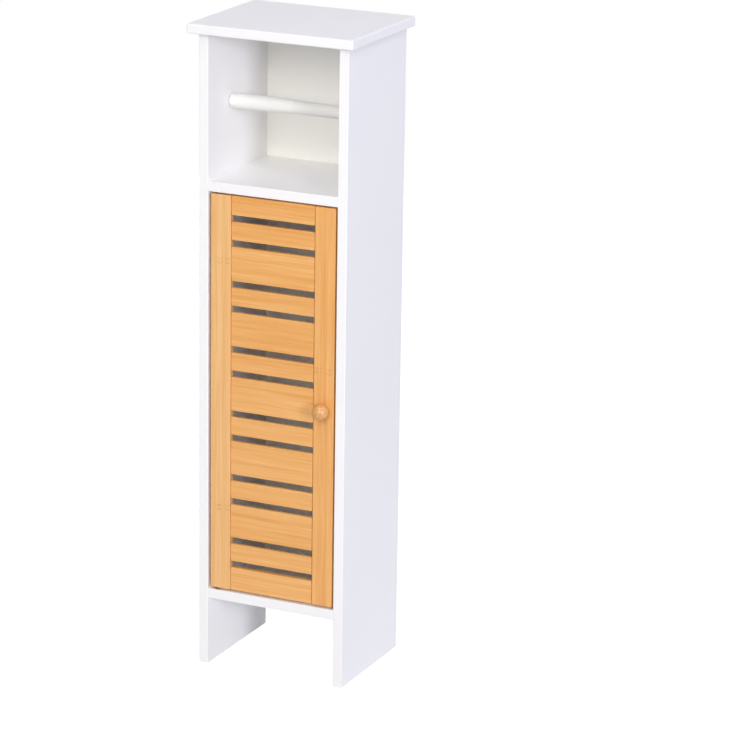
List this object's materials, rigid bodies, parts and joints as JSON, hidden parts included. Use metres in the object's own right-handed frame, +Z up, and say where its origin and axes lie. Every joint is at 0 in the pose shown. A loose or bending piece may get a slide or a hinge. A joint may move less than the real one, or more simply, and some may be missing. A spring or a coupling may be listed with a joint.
{
  "type": "toilet roll holder cabinet",
  "caption": "Narrow white floor cabinet with a sprung roll rod in an open niche above a hinged bamboo door with horizontal slats and a round knob.",
  "frame": {"origin": "on the floor, under the middle of the box round the cabinet and its door knob", "axes": "+X to the right seen from the front, +Y to the back, +Z up"},
  "size_m": [0.21, 0.175, 0.78],
  "materials": {
    "white_board": "white satin lacquer on fibreboard",
    "white_back": "white painted hardboard",
    "bamboo": "clear lacquered carbonised bamboo",
    "knob_wood": "turned and lacquered wood",
    "beech": "plain, fluted dowel stock",
    "zinc": "zinc die casting and zinc plated steel",
    "steel": "zinc plated",
    "spring_steel": "drawn wire",
    "white_fitting": "moulded, fine matt",
    "brown_nylon": "moulded, fine matt",
    "rod_plastic": "moulded, satin gloss",
    "ferrite": "sintered"
  },
  "bodies": {
    "cabinet": {"top_panel": "white_board", "left_side_panel": "white_board", "right_side_panel": "white_board", "niche_shelf": "white_board", "bottom_shelf": "white_board", "back_panel": "white_back", "top_dowels": "beech", "shelf_dowels": "beech", "cam_bolts": "zinc", "cam_discs": "zinc", "upper_pivot_bush": "brown_nylon", "lower_pivot_bush": "brown_nylon", "magnet_catch_housing": "white_fitting", "catch_magnet": "ferrite", "magnet_pole_plates": "steel", "magnet_catch_screws": "steel"},
    "door": {"hinge_stile": "bamboo", "knob_stile": "bamboo", "door_top_rail": "bamboo", "door_bottom_rail": "bamboo", "narrow_slat_1": "bamboo", "narrow_slat_2": "bamboo", "narrow_slat_3": "bamboo", "narrow_slat_4": "bamboo", "narrow_slat_5": "bamboo", "narrow_slat_6": "bamboo", "wide_slat_1": "bamboo", "wide_slat_2": "bamboo", "wide_slat_3": "bamboo", "wide_slat_4": "bamboo", "wide_slat_5": "bamboo", "door_knob": "knob_wood", "knob_screw": "steel", "upper_pivot_pin": "steel", "lower_pivot_pin": "steel", "strike_plate": "steel", "strike_plate_screw": "steel"},
    "rod_inner": {"rod_inner_tube": "rod_plastic"},
    "rod_outer": {"rod_outer_tube": "rod_plastic", "rod_spring": "spring_steel"}
  },
  "joints": [
    {"name": "door_swing", "type": "hinge", "parent": "cabinet", "child": "door", "pos_m": [-0.0712, -0.065, 0.33975], "axis": [0, 0, -1], "range_deg": [0, 110]},
    {"name": "rod_spin", "type": "hinge", "parent": "cabinet", "child": "rod_inner", "pos_m": [0.0826, -0.0125, 0.68], "axis": [1, 0, 0], "continuous": true},
    {"name": "rod_compress", "type": "slide", "parent": "rod_inner", "child": "rod_outer", "axis": [1, 0, 0], "range_m": [0, 0.008], "stiffness_N_per_m": 200, "springref_m": -0.01, "deforming": ["rod_spring"]}
  ]
}
